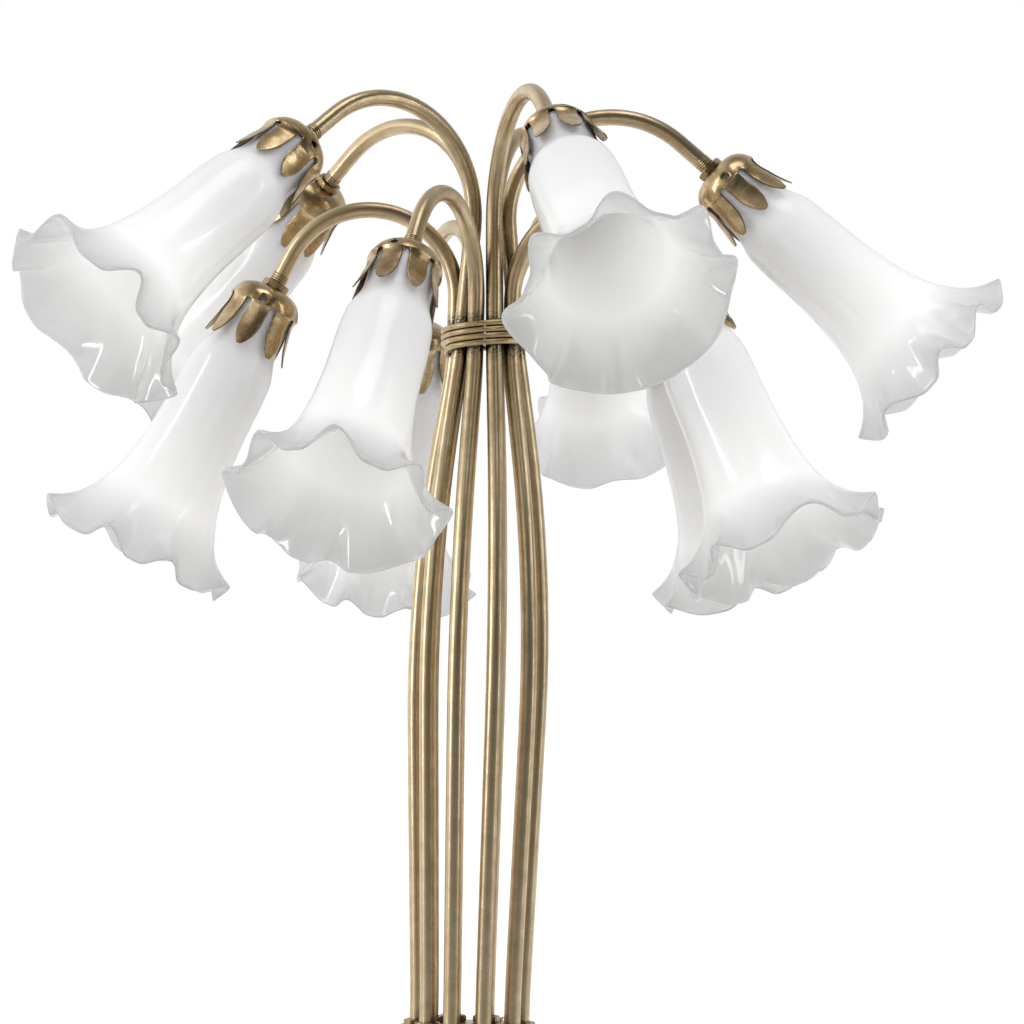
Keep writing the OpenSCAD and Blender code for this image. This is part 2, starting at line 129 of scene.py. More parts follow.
def new_tree(data):
    """An empty node tree on a material or a world."""
    data.use_nodes = True
    data.node_tree.nodes.clear()
    return data.node_tree


print("mid grey #808080 is", round(linear("#808080")[0], 3), "in linear light")

# %% [markdown]
# # The studio
# The lamp was shot on white: a bright backdrop behind, a tall soft lamp on the left, a weaker one on the
# right, one above, and a dim room behind the camera. The dim room matters, because polished tubes
# mirror it as the dark stripe that makes them look round. One could light with an image of a studio,
# but a world that is white to the camera and graded for reflections needs no file: what metal mirrors
# grows brighter towards the backdrop and towards the lit left side. A narrow strip lamp beside the
# left one shows only in what mirrors it. It draws the bright streak on the brass and leaves the white
# glass, which is bright enough, alone.

# %% World
WORLD_FILL = 1.22
REFLECTED_FRONT = 0.05
REFLECTED_BACK = 0.6
REFLECTED_LEFT = 0.85
# The parts of the unit direction over which the room brightens, from the front to the back and to the left
BACK_FROM, BACK_TO = -0.2, 0.9
LEFT_FROM, LEFT_TO = -0.2, -1.0


def graded(tree, value, start, end, low, high):
    """A value's share of the way from start to end, as a number from low to high."""
    inputs = {"Value": value, "From Min": start, "From Max": end, "To Min": low, "To Max": high}
    return add_node(tree, "ShaderNodeMapRange", inputs).outputs[0]


def maths(tree, operation, *values):
    """The result of a sum, product or other operation on sockets and numbers."""
    return add_node(tree, "ShaderNodeMath", dict(enumerate(values)), operation=operation).outputs[0]


def make_world():
    world = bpy.data.worlds.new("white_studio")
    tree = new_tree(world)
    rays = add_node(tree, "ShaderNodeLightPath")
    direction = add_node(tree, "ShaderNodeTexCoord")
    split = add_node(tree, "ShaderNodeSeparateXYZ", {0: direction.outputs["Generated"]})
    backdrop = graded(tree, split.outputs["Y"], BACK_FROM, BACK_TO, REFLECTED_FRONT, REFLECTED_BACK)
    lit_side = graded(tree, split.outputs["X"], LEFT_FROM, LEFT_TO, 0.0, REFLECTED_LEFT)
    room = maths(tree, "ADD", backdrop, lit_side)
    fill = add_node(tree, "ShaderNodeMix", {0: rays.outputs["Is Glossy Ray"], 2: WORLD_FILL, 3: room})
    seen = maths(tree, "MAXIMUM", rays.outputs["Is Camera Ray"], rays.outputs["Is Transmission Ray"])
    strength = add_node(tree, "ShaderNodeMix", {0: seen, 2: fill.outputs[0], 3: 1.0})
    white = {"Color": linear("#FFFFFF"), "Strength": strength.outputs[0]}
    sky = add_node(tree, "ShaderNodeBackground", white)
    add_node(tree, "ShaderNodeOutputWorld", {"Surface": sky.outputs[0]})
    bpy.context.scene.world = world


make_world()
bpy.context.scene.view_settings.view_transform = "Standard"
print("world fill", WORLD_FILL, "and reflected room from", REFLECTED_FRONT, "to", REFLECTED_BACK)

# %% Soft lamps
SOFT_LAMPS = {
    "tall_softbox_left": {"at": (-1.5, -0.72, 0.7), "size": (0.14, 1.7), "watts": 4.3},
    "strip_lamp_left": {
        "at": (-1.45, -0.8, 0.7), "size": (0.12, 1.7), "watts": 5.0, "mirrored_only": True
    },
    "soft_panel_right": {"at": (1.6, -0.55, 0.7), "size": (0.2, 1.5), "watts": 3.5},
    "soft_panel_top": {"at": (0.2, -0.5, 2.2), "size": (0.9, 0.9), "watts": 5.0},
}
LAMPS_AIM = Vector((0.0, 0.0, 0.4))


def make_lamp(name, at, size, watts, mirrored_only=False):
    """A rectangular lamp aimed at the middle of the object, unseen by the camera."""
    data = bpy.data.lights.new(name, "AREA")
    data.shape = "RECTANGLE"
    data.size, data.size_y = size
    data.energy = watts
    lamp = bpy.data.objects.new(name, data)
    bpy.context.scene.collection.objects.link(lamp)
    lamp.location = at
    lamp.rotation_euler = (LAMPS_AIM - Vector(at)).to_track_quat("-Z", "Y").to_euler()
    lamp.visible_camera = False
    lamp.visible_diffuse = not mirrored_only


for name, facts in SOFT_LAMPS.items():
    make_lamp(name, **facts)
    print(name, facts["watts"], "W")

# %% [markdown]
# # The floor
# The lamp stands on a white sweep. A plain diffuse floor would render light grey, so for camera rays
# part of it glows: the floor looks white and still shows a soft shadow. The brass mirrors the paper
# darker in front, where the lamps don't reach, than behind, as it does the room.

# %% Floor
FLOOR_SIDE = 40.0
FLOOR_GLOW = 0.72
FLOOR_WHITE = 1.08
PAPER_WHITE = "#F8F8F8"
MIRRORED_FRONT = "#6A6A6A"
MIRRORED_BACK = "#D8D8D8"
# Where the mirrored paper begins and ends to brighten, in metres from the lamp's middle
DARK_TO_Y, BRIGHT_FROM_Y = -0.7, 0.4


def make_floor():
    material = bpy.data.materials.new("white_paper_sweep")
    tree = new_tree(material)
    rays = add_node(tree, "ShaderNodeLightPath")
    glow = maths(tree, "MULTIPLY", rays.outputs["Is Camera Ray"], FLOOR_GLOW)
    place = add_node(tree, "ShaderNodeNewGeometry").outputs["Position"]
    split = add_node(tree, "ShaderNodeSeparateXYZ", {0: place})
    to_back = graded(tree, split.outputs["Y"], DARK_TO_Y, BRIGHT_FROM_Y, 0.0, 1.0)
    mirrored = mix_colour(tree, to_back, linear(MIRRORED_FRONT), linear(MIRRORED_BACK))
    shade = mix_colour(tree, rays.outputs["Is Glossy Ray"], linear(PAPER_WHITE), mirrored)
    paper = add_node(tree, "ShaderNodeBsdfDiffuse", {"Color": shade})
    light = add_node(tree, "ShaderNodeEmission", {"Color": linear("#FFFFFF"), "Strength": FLOOR_WHITE})
    both = add_node(tree, "ShaderNodeMixShader", {0: glow, 1: paper.outputs[0], 2: light.outputs[0]})
    add_node(tree, "ShaderNodeOutputMaterial", {"Surface": both.outputs[0]})
    mesh = bpy.data.meshes.new("sweep")
    half = FLOOR_SIDE / 2
    corners = [(-half, -half, 0), (half, -half, 0), (half, half, 0), (-half, half, 0)]
    mesh.from_pydata(corners, [], [(0, 1, 2, 3)])
    mesh.materials.append(material)
    floor = bpy.data.objects.new("sweep", mesh)
    bpy.context.scene.collection.objects.link(floor)


make_floor()
print("floor", FLOOR_SIDE, "m square at z 0")

# %% [markdown]
# # Antique brass
# The tubes, caps and base are brass with an antique finish: the metal is plated or darkened with a
# chemical patina, then brushed so that the raised parts shine again, and lacquered. To the eye that
# gives a warm metal with cream highlights, faint lines along the brushing, small dark pits and nearly
# black corners. One could paint the dark corners by hand. Ambient occlusion finds them by itself,
# because a corner is where few rays get out, and a fine noise makes their border ragged. This darkening
# is both patina left in the hollows and painted shade, in corners and in the gaps between parts.
# The blotches are about a centimetre wide and the brush lines 0.4 mm, drawn a little coarser than
# the real 0.1 mm so that they show. Round the wire tie, where no brush reaches, the tubes stay flecked
# with patina.

# %% Brass finishes
BLOTCH_MM = 11.0
PIT_MM = 1.1
BRUSH_LINE_MM = 0.4
BRUSH_RUN_MM = 25.0
RAGGED = 0.3
TIE_HEIGHT_MM = 447.0
STAIN_REACH_MM = 22.0
STAIN_DEPTH = 1.1
BRUSH_DEPTH_MM = 0.1
LACQUER = {"Coat Weight": 0.5, "Coat Roughness": 0.12}


def ramp(tree, source, stops):
    """A colour ramp between hex colours or grey levels, given as (position, colour)."""
    node = add_node(tree, "ShaderNodeValToRGB", {"Fac": source})
    elements = node.color_ramp.elements
    while len(elements) < len(stops):
        elements.new(0.5)
    for element, (position, colour) in zip(elements, stops):
        element.position = position
        element.color = linear(colour) if isinstance(colour, str) else (colour,) * 3 + (1.0,)
    return node.outputs[0]


def noise(tree, place, size_mm, detail, **more):
    """A noise texture whose grains have a size in millimetres."""
    inputs = {"Vector": place, "Scale": 1 / (size_mm * MM), "Detail": detail, **more}
    return add_node(tree, "ShaderNodeTexNoise", inputs).outputs[0]


def antique_brass(
    name,
    light,
    aged,
    dark_patina_and_shade,
    crevice_mm,
    crevice,
    roughness=(0.25, 0.42),
    pits=0.5,
    edge_shade_attribute=None,
    stained=None,
):
    """Brushed brass with blotches and pits, and patina and painted shade where less open sky than the crevice
    range is seen.
    Edges are painted darker, as painted shade, by a mesh attribute if one is named, and a stain lies round a
    height if one is given."""
    material = bpy.data.materials.new(name)
    tree = new_tree(material)
    place = add_node(tree, "ShaderNodeTexCoord").outputs["Object"]
    blotches = noise(tree, place, BLOTCH_MM, 4.0, Roughness=0.6)
    blotch_share = ramp(tree, blotches, [(0.35, 0.0), (0.7, 1.0)])
    body = mix_colour(tree, blotch_share, linear(light), linear(aged))
    grain = noise(tree, place, PIT_MM, 2.0, Roughness=0.5)
    pit_share = ramp(tree, grain, [(0.62, 0.0), (0.74, pits)])
    pitted = mix_colour(tree, pit_share, body, linear(dark_patina_and_shade))
    # Patina left in the hollows and painted shade: less open sky, as in corners and in gaps between parts,
    # darkens towards the dark colour.
    open_sky = add_node(tree, "ShaderNodeAmbientOcclusion", {"Distance": crevice_mm * MM}, samples=8)
    ragged = maths(tree, "MULTIPLY_ADD", grain, -RAGGED, open_sky.outputs["AO"])
    shift = RAGGED / 2
    corner = ramp(tree, ragged, [(crevice[0] - shift, 1.0), (crevice[1] - shift, 0.0)])
    colour = mix_colour(tree, corner, pitted, linear(dark_patina_and_shade))
    # Painted shade: where the named attribute marks an edge, the sheet darkens towards the dark colour, as in
    # the gaps behind a sepal's edges and inside the vents.
    if edge_shade_attribute:
        edge = add_node(tree, "ShaderNodeAttribute", attribute_name=edge_shade_attribute)
        colour = mix_colour(tree, edge.outputs["Fac"], colour, linear(dark_patina_and_shade))
    if stained:
        height = add_node(tree, "ShaderNodeSeparateXYZ", {0: place}).outputs["Z"]
        away = maths(tree, "ABSOLUTE", maths(tree, "SUBTRACT", height, stained[0] * MM))
        near = graded(tree, away, 0.0, stained[1] * MM, STAIN_DEPTH, 0.0)
        stain = ramp(tree, maths(tree, "MULTIPLY", grain, near), [(0.2, 0.0), (0.38, 0.85)])
        colour = mix_colour(tree, stain, colour, linear(dark_patina_and_shade))
    across, along = 1 / (BRUSH_LINE_MM * MM), 1 / (BRUSH_RUN_MM * MM)
    stretched = add_node(tree, "ShaderNodeMapping", {"Vector": place, "Scale": (across, across, along)})
    brushed = {"Vector": stretched.outputs[0], "Scale": 1.0, "Detail": 3.0}
    lines = add_node(tree, "ShaderNodeTexNoise", brushed)
    relief = {"Strength": 0.04, "Distance": BRUSH_DEPTH_MM * MM, "Height": lines.outputs[0]}
    bump = add_node(tree, "ShaderNodeBump", relief)
    metal = {
        "Base Color": colour,
        "Metallic": 1.0,
        "Roughness": graded(tree, blotches, 0.3, 0.7, *roughness),
        "Normal": bump.outputs[0],
        **LACQUER,
    }
    surface = add_node(tree, "ShaderNodeBsdfPrincipled", metal)
    add_node(tree, "ShaderNodeOutputMaterial", {"Surface": surface.outputs[0]})
    return material


# The tubes' occlusion reaches 14 mm, so it also paints shade in the gaps between neighbouring stems.
tube_brass = antique_brass(
    "brushed_antique_brass_tube",
    "#E4CEA8",
    "#CAB38A",
    "#2E2A25",
    14.0,
    (0.35, 0.65),
    roughness=(0.28, 0.38),
    pits=0.15,
    stained=(TIE_HEIGHT_MM, STAIN_REACH_MM),
)
cap_brass = antique_brass(
    "pressed_antique_brass_sheet",
    "#E8CE9E",
    "#A5855A",
    "#40332A",
    5.0,
    (0.15, 0.5),
    roughness=(0.2, 0.34),
    pits=0.6,
    edge_shade_attribute="edge",
)
nut_brass = antique_brass("dark_patinated_brass", "#C2A677", "#8E754C", "#2A2219", 4.0, (0.3, 0.7))
wire_brass = antique_brass("drawn_brass_wire", "#E2CBA2", "#C4AA7C", "#423A31", 4.0, (0.15, 0.5))
spun_brass = antique_brass("spun_antique_brass", "#D2B787", "#A88C5E", "#3A2E20", 5.0, (0.2, 0.55))
print("brass finishes:", [m.name for m in bpy.data.materials if "brass" in m.name])

# %% [markdown]
# # Opal glass
# The bells are blown opal glass: clear glass with a thin white layer that scatters light. Outside it is
# satin under a thin clear gloss, inside it is glossy, and the white layer thins towards the ruffled
# rim, which is almost clear.
# A plain white surface would look like china, with a dark inside. Here subsurface scattering carries
# light through the wall: its reach is several times the wall's thickness, so the inside glows with the
# light that falls on the outside. A little transmission comes in along the last stretch of the wall.
# The mesh carries two values for this: how far a point is along the wall, and whether it is inside.

# %% Opal glass
GLASS_IOR = 1.5
SCATTER_MM = 16.0
SWIRL_MM = 5.0
SWIRL_DEPTH_MM = 0.5
SATIN_ROUGHNESS, GLOSSY_ROUGHNESS = 0.32, 0.12
FIRE_POLISH = {"Coat Weight": 0.6, "Coat Roughness": 0.03}
# Outside tones along the wall: darker and bluish at the neck under the cap, which is painted shade, and
# greyer towards the rim, where the white layer thins.
OUTSIDE_TONES_AND_NECK_SHADE = [(0.0, "#DFE0EA"), (0.28, "#EEEFF4"), (0.6, "#F5F5F4"), (0.8, "#ECECEC"), (1.0, "#D6D8D9")]
# Inside tones along the wall, painted light and shade: near white deep in the bell, where light comes through
# the wall, greyer over the flare, which faces the dim room, and greyest at the rim, where the white layer
# thins.
INSIDE_TONES_AND_PAINTED_SHADING = [(0.0, "#FFFEFB"), (0.6, "#FCFBF7"), (0.78, "#E0E0DD"), (1.0, "#C5C6C4")]
CLEARING = [(0.8, 0.0), (1.0, 0.55)]


def opal_glass():
    material = bpy.data.materials.new("blown_opal_glass")
    tree = new_tree(material)
    along = add_node(tree, "ShaderNodeAttribute", attribute_name="along").outputs["Fac"]
    inside = add_node(tree, "ShaderNodeAttribute", attribute_name="inside").outputs["Fac"]
    outer = ramp(tree, along, OUTSIDE_TONES_AND_NECK_SHADE)
    inner = ramp(tree, along, INSIDE_TONES_AND_PAINTED_SHADING)
    place = add_node(tree, "ShaderNodeTexCoord").outputs["Object"]
    swirl = noise(tree, place, SWIRL_MM, 1.0, Distortion=1.5)
    relief = {"Strength": 0.05, "Distance": SWIRL_DEPTH_MM * MM, "Height": swirl}
    bump = add_node(tree, "ShaderNodeBump", relief)
    glass = {
        "Base Color": mix_colour(tree, inside, outer, inner),
        "Roughness": graded(tree, inside, 0.0, 1.0, SATIN_ROUGHNESS, GLOSSY_ROUGHNESS),
        "IOR": GLASS_IOR,
        "Transmission Weight": ramp(tree, along, CLEARING),
        "Subsurface Weight": 1.0,
        "Subsurface Radius": (1.0, 1.0, 1.0),
        "Subsurface Scale": SCATTER_MM * MM,
        "Normal": bump.outputs[0],
        **FIRE_POLISH,
    }
    surface = add_node(tree, "ShaderNodeBsdfPrincipled", glass)
    add_node(tree, "ShaderNodeOutputMaterial", {"Surface": surface.outputs[0]})
    return material


opal = opal_glass()
print("opal glass scatters light over", SCATTER_MM, "mm")

# %% [markdown]
# # Plain finishes
# The pieces inside the base, the sockets and the bulbs have simpler surfaces: cast iron is rough and
# nearly black, zinc plated steel is pale and satin, felt is dull and fibrous, porcelain is glazed.
# One function covers them, with a noise of the right grain for each.


# %% Plain finishes
GRAIN_DEPTH_MM = 0.3


def plain_finish(name, dark, light, grain_mm, bump, roughness, **more):
    """A finish that varies between two colours over grains of a given size, in millimetres."""
    material = bpy.data.materials.new(name)
    tree = new_tree(material)
    place = add_node(tree, "ShaderNodeTexCoord").outputs["Object"]
    grain = noise(tree, place, grain_mm, 3.0)
    colour = ramp(tree, grain, [(0.3, dark), (0.7, light)])
    depth = {"Strength": bump, "Distance": GRAIN_DEPTH_MM * MM, "Height": grain}
    relief = add_node(tree, "ShaderNodeBump", depth)
    inputs = {"Base Color": colour, "Roughness": roughness, "Normal": relief.outputs[0], **more}
    surface = add_node(tree, "ShaderNodeBsdfPrincipled", inputs)
    add_node(tree, "ShaderNodeOutputMaterial", {"Surface": surface.outputs[0]})
    return material


CLEAR = {"Transmission Weight": 1.0}
METAL = {"Metallic": 1.0}
FUZZ = {"Sheen Weight": 0.4}
# Thin clear glass, the bulbs' envelopes
clear_glass = plain_finish("clear_soda_lime_glass", "#FBFCFC", "#FFFFFF", 20.0, 0.0, 0.02, **CLEAR)
# Bare grey wire, slightly dull from drawing
tungsten = plain_finish("drawn_tungsten", "#6A6660", "#8E8A84", 0.5, 0.1, 0.35, **METAL)
# White fired clay under a clear glaze, the sockets
porcelain = plain_finish("glazed_porcelain", "#ECE9E0", "#F6F3EC", 6.0, 0.05, 0.18)
# Steel with a thin grey zinc skin, the plate and the bolt
zinc_steel = plain_finish("zinc_plated_steel", "#8F9396", "#B9BDC0", 4.0, 0.1, 0.35, **METAL)
# Iron as it left the sand mould, under thin black paint
cast_iron = plain_finish("painted_cast_iron", "#1B1B1C", "#2C2C2D", 1.5, 0.6, 0.7)
# Matted dark green wool, with a fuzz that catches light at its edges
felt = plain_finish("wool_felt", "#1B2A20", "#2B4232", 0.7, 0.8, 0.95, **FUZZ)
# Black plastic with the faint grain of its mould, the cord bushing
nylon = plain_finish("moulded_black_nylon", "#101011", "#19191B", 0.8, 0.15, 0.45)
# Thin brass with a bright nickel skin, the bulbs' screw shells
screw_shell = plain_finish("nickel_plated_brass_shell", "#A79F8E", "#CBC4B4", 3.0, 0.1, 0.3, **METAL)
print(len(bpy.data.materials), "materials so far")

# %% [markdown]
# # Heads
# Each arm ends in a head: nut, cap, glass, socket and bulb share one axis. The record's hinge for a
# head gives that axis and a point on it, so a head's pieces can be drawn upright at the origin and
# then placed with one matrix. Its x axis lies in the arm's own upright plane, as it does in CAD.

# %% Head frames
STEM_COUNT = 10
NUMBERS = [f"{i + 1:02d}" for i in range(STEM_COUNT)]
JOINTS = {joint["name"]: joint for joint in frame["joints"]}


def head_frame(number):
    """The matrix from a head's own axes, in metres, to the lamp's."""
    joint = JOINTS["head_turn_" + number]
    axis = Vector(joint["axis"]).normalized()
    azimuth = math.atan2(axis.y, axis.x)
    lean = math.acos(axis.z)
    turn = Matrix.Rotation(azimuth, 4, "Z") @ Matrix.Rotation(lean, 4, "Y")
    return Matrix.Translation(Vector(joint["pos_m"])) @ turn


HEADS = {number: head_frame(number) for number in NUMBERS}
for number, matrix in HEADS.items():
    print("head", number, "at", tuple(round(x, 4) for x in matrix.translation))


# %% [markdown]
# # From a list of points to a piece
# Every new piece is a mesh drawn in millimetres. One helper scales it, places it, gives it smooth
# shading except at sharp edges, a material and the body it rides on, and hides the CAD nodes it
# stands for. Named values on the points, such as how close a point is to an edge, go with it.


# %% Piece helper
def make_piece(name, points, faces, material, body, slot, place=None, replaces=(), values=None, sharp=40.0):
    """A mesh from points in millimetres, placed and riding on a body."""
    mesh = bpy.data.meshes.new(name)
    mesh.from_pydata([Vector(p) * MM for p in points], [], faces)
    for value_name, numbers in (values or {}).items():
        attribute = mesh.attributes.new(value_name, "FLOAT", "POINT")
        attribute.data.foreach_set("value", numbers)
    mesh.transform(place or Matrix.Identity(4))
    mesh.materials.append(material)
    mesh.polygons.foreach_set("use_smooth", [True] * len(mesh.polygons))
    mesh.set_sharp_from_angle(angle=math.radians(sharp))
    mesh.validate()
    piece = bpy.data.objects.new(name, mesh)
    bpy.context.scene.collection.objects.link(piece)
    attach(piece, body)
    if replaces:
        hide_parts(*replaces)
    return piece


def ring_faces(n, count):
    """The faces between each of count closed sections of n points and the next, all the way round."""
    return [
        (j * n + k, (j + 1) % count * n + k, (j + 1) % count * n + (k + 1) % n, j * n + (k + 1) % n)
        for j in range(count)
        for k in range(n)
    ]


def revolve(section, count):
    """Points and faces of a closed section of (radius, height) turned about z."""
    points = [
        (r * math.cos(2 * math.pi * j / count), r * math.sin(2 * math.pi * j / count), z)
        for j in range(count)
        for r, z in section
    ]
    return points, ring_faces(len(section), count)


def sweep(path, radius, sides=12, up=Vector((0, 0, 1))):
    """A round rod of a given radius, or one radius a point, along points, with closed ends."""
    radii = radius if isinstance(radius, list) else [radius] * len(path)
    points = []
    for k, at in enumerate(path):
        forward = (path[min(k + 1, len(path) - 1)] - path[max(k - 1, 0)]).normalized()
        side = forward.cross(up).normalized()
        top = side.cross(forward)
        for m in range(sides):
            turn = 2 * math.pi * m / sides
            points.append(at + radii[k] * (side * math.cos(turn) + top * math.sin(turn)))
    faces = []
    for k in range(len(path) - 1):
        for m in range(sides):
            a, b = k * sides + m, k * sides + (m + 1) % sides
            faces.append((a, b, b + sides, a + sides))
    last = (len(path) - 1) * sides
    faces.append(tuple(range(sides - 1, -1, -1)))
    faces.append(tuple(range(last, last + sides)))
    return points, faces


print("a 4 mm circle swept over 2 points has", len(sweep([Vector(), Vector((0, 9, 0))], 2)[0]), "points")

# %% [markdown]
# # Glass bells
# A bell is blown into a mould and its hot rim is pinched into lobes by hand. It could be a subdivided
# cage that is pushed about, but the wall is a revolved outline whose last third swings in and out, so
# a formula draws it exactly: the outline runs through measured radii, and each lobe swings the wall
# outward and back towards the neck. Adding a second, faster wave makes the tips narrow and the bays
# between them wide, as pinched glass is. Each bell is turned in its cap by hand and has lobes of its
# own sizes.

# %% Glass bells
COLLAR_S = 14.2
SHADE_LENGTH = 160.4
GLASS_WALL = 2.6
RIM_WALL = 2.0
NECK_R = 18.8
COLLAR_HOLE_R = 13.3
# The wall's outer radius at shares of the bell's length
OUTLINE = [
    (0, 18.8),
    (0.145, 19.4),
    (0.25, 24.6),
    (0.54, 26.7),
    (0.75, 32.1),
    (0.887, 42.0),
    (0.955, 49.8),
    (1, 57.7),
]
LOBES = 8
RUFFLE_OUT = 5.0
RUFFLE_ALONG = 7.0
RUFFLE_FROM = 0.74
RUFFLE_GROWTH = 3.0
LOBE_SIZES = (0.68, 0.9)
LOBE_DRIFT = 0.1
TIP_NARROWING = 0.25
AROUND = 192
RINGS = 46
RING_CROWDING = 1.25
THINNING_FROM = 0.8
LIP_POINTS = 3


def smooth_line(knots, t):
    """A Catmull-Rom curve through (position, value) knots, read at position t."""
    k = max(i for i in range(len(knots) - 1) if knots[i][0] <= t or i == 0)
    before, after = max(k - 1, 0), min(k + 2, len(knots) - 1)
    (x0, y0), (x1, y1) = knots[k], knots[k + 1]
    slope0 = (y1 - knots[before][1]) / (x1 - knots[before][0])
    slope1 = (knots[after][1] - y0) / (knots[after][0] - x0)
    width = x1 - x0
    u = (t - x0) / width
    return (
        y0 * (2 * u**3 - 3 * u**2 + 1)
        + slope0 * width * (u**3 - 2 * u**2 + u)
        + y1 * (3 * u**2 - 2 * u**3)
        + slope1 * width * (u**3 - u**2)
    )


def bell_line():
    """The wall's outside as (share of length, radius, normal out of the glass)."""
    shares = [1 - (1 - k / RINGS) ** RING_CROWDING for k in range(RINGS + 1)]
    line = [(t, smooth_line(OUTLINE, t)) for t in shares]
    made = []
    for k, (t, r) in enumerate(line):
        a, b = line[max(k - 1, 0)], line[min(k + 1, RINGS)]
        ds, dr = (b[0] - a[0]) * SHADE_LENGTH, b[1] - a[1]
        length = math.hypot(ds, dr)
        made.append((t, r, (ds / length, -dr / length)))
    return made


def bell_section():
    """The closed section as (along the axis, radius, share, inside)."""
    line = bell_line()
    outer = [(t * SHADE_LENGTH, r, t, 0.0) for t, r, _ in line]
    inner = []
    for t, r, (nr, ns) in reversed(line[1:]):
        thinning = max(0.0, (t - THINNING_FROM) / (1 - THINNING_FROM))
        wall = GLASS_WALL + (RIM_WALL - GLASS_WALL) * thinning
        inner.append((t * SHADE_LENGTH - ns * wall, r - nr * wall, t, 1.0))
    t, r, (nr, ns) = line[-1]
    half = RIM_WALL / 2
    lip = []
    for k in range(1, LIP_POINTS + 1):
        turn = math.pi * k / (LIP_POINTS + 1)
        across, beyond = half * math.cos(turn) - half, half * math.sin(turn)
        lip_s, lip_r = t * SHADE_LENGTH + ns * across + nr * beyond, r + nr * across - ns * beyond
        lip.append((lip_s, lip_r, 1.0, k / (LIP_POINTS + 1)))
    collar_in = [(GLASS_WALL, NECK_R - GLASS_WALL, 0.0, 1.0), (GLASS_WALL, COLLAR_HOLE_R, 0.0, 1.0)]
    return [(0.0, COLLAR_HOLE_R, 0.0, 0.0)] + outer + lip + inner + collar_in


def lobe_wave(angle, sizes, phases, turned):
    """The swing of the wall, 1 at a lobe's tip and about -0.67 in a bay."""
    drift = LOBE_DRIFT * (math.sin(2 * angle + phases[0]) + math.sin(3 * angle + phases[1]))
    at = (angle - turned) / (2 * math.pi) * LOBES + drift
    turn = 2 * math.pi * at
    raised = 0.05
    wave = math.cos(turn) + TIP_NARROWING * math.cos(2 * turn) - raised
    wave /= 1 + TIP_NARROWING - raised
    return wave * (sizes[int(at + 0.5) % LOBES] if wave > 0 else 1.0)


# How far each bell was turned in its cap, in degrees, seen in the photograph
BELL_TURNS = {"01": 6, "02": 0, "03": 27, "04": 39, "05": 18, "06": 18, "07": 21, "08": 27, "09": 17, "10": 0}


def make_bell(number, chance):
    """One bell, closed along its length and round its rim."""
    section = bell_section()
    sizes = [chance.uniform(*LOBE_SIZES) for _ in range(LOBES)]
    phases = [chance.uniform(0, 2 * math.pi) for _ in range(2)]
    turned = math.radians(BELL_TURNS[number])
    points, along, inside = [], [], []
    for j in range(AROUND):
        angle = 2 * math.pi * j / AROUND
        wave = lobe_wave(angle, sizes, phases, turned)
        for s, r, t, side in section:
            share = max(0.0, (t - RUFFLE_FROM) / (1 - RUFFLE_FROM)) ** RUFFLE_GROWTH
            radius = r + RUFFLE_OUT * share * wave
            height = COLLAR_S + s - RUFFLE_ALONG * share * wave
            points.append((radius * math.cos(angle), radius * math.sin(angle), height))
            along.append(t)
            inside.append(side)
    return make_piece(
        "glass_bell_" + number,
        points,
        ring_faces(len(section), AROUND),
        opal,
        "head_" + number,
        "opal_glass",
        place=HEADS[number],
        replaces=["glass_shade_" + number],
        values={"along": along, "inside": inside},
        sharp=60.0,
    )


chance = random.Random(11)
bells = [make_bell(number, chance) for number in NUMBERS]
print(len(bells), "bells of", len(bells[0].data.polygons), "faces each")

# %% [markdown]
# # Sepal caps
# A cap is pressed from one brass sheet: a dome whose skirt is slit into eight sepals. The slits begin
# as narrow keyholes and widen, so a sepal is a broad tongue with a blunt point, creased where it
# leaves the dome and bent by hand, each a little differently. A grid that keeps its columns inside
# each sepal draws this without any cutting: a raised ridge and a hollow below it make the crease. A
# solidify step gives the sheet its thickness, inwards from the drawn outside.

# %% Sepal caps
CROWN_S = 2.2
CROWN_R = 8.0
CAP_R = 21.0
CAP_DOME_H = 12.0
CAP_LENGTH = 39.0
CAP_WALL = 0.8
SEPALS = 8
SLOT_ROOT = 14.0
SLOT_W = 4.0
SEPAL_FLARE = 3.0
SEPAL_BREADTH = 4.0
SEPAL_TIP_W = 2.5
BORE_R = 5.05
VENTS = 4
VENT_R = 2.2
VENT_S = 9.0
WAIST_DEPTH, WAIST_LENGTH = 0.5, 12
# A ridge where the skirt leaves the dome and a hollow below the slits' roots: height, place, width
RIDGE = (0.7, CAP_DOME_H - 0.5, 1.3)
HOLLOW = (-0.45, SLOT_ROOT + 2.0, 2.0)
TIP_FLATNESS = 0.35
# How far a sepal may be bent out, leant sideways and twisted
BENT_OUT, LEANT, TWISTED = (-0.6, 2.6), (-1.2, 1.2), (-0.09, 0.09)
DOME_ROWS, SKIRT_ROWS, SKIRT_CROWDING = 11, 20, 1.4
SEPAL_COLUMNS = 14
# How far a sepal's edges, its tip and the vents' rims are darkened: painted shade.
EDGE_SHADE = 0.6
EDGE_FROM = 0.88


def cap_radius(s):
    """The cap's outside radius at a distance below its crown."""
    if s <= CAP_DOME_H:
        return CROWN_R + (CAP_R - CROWN_R) * math.sqrt(max(0.0, 1 - (1 - s / CAP_DOME_H) ** 2))
    waist = WAIST_DEPTH * math.sin(math.pi * min(1.0, (s - CAP_DOME_H) / WAIST_LENGTH))
    return CAP_R - waist + SEPAL_FLARE * ((s - CAP_DOME_H) / (CAP_LENGTH - CAP_DOME_H)) ** 2


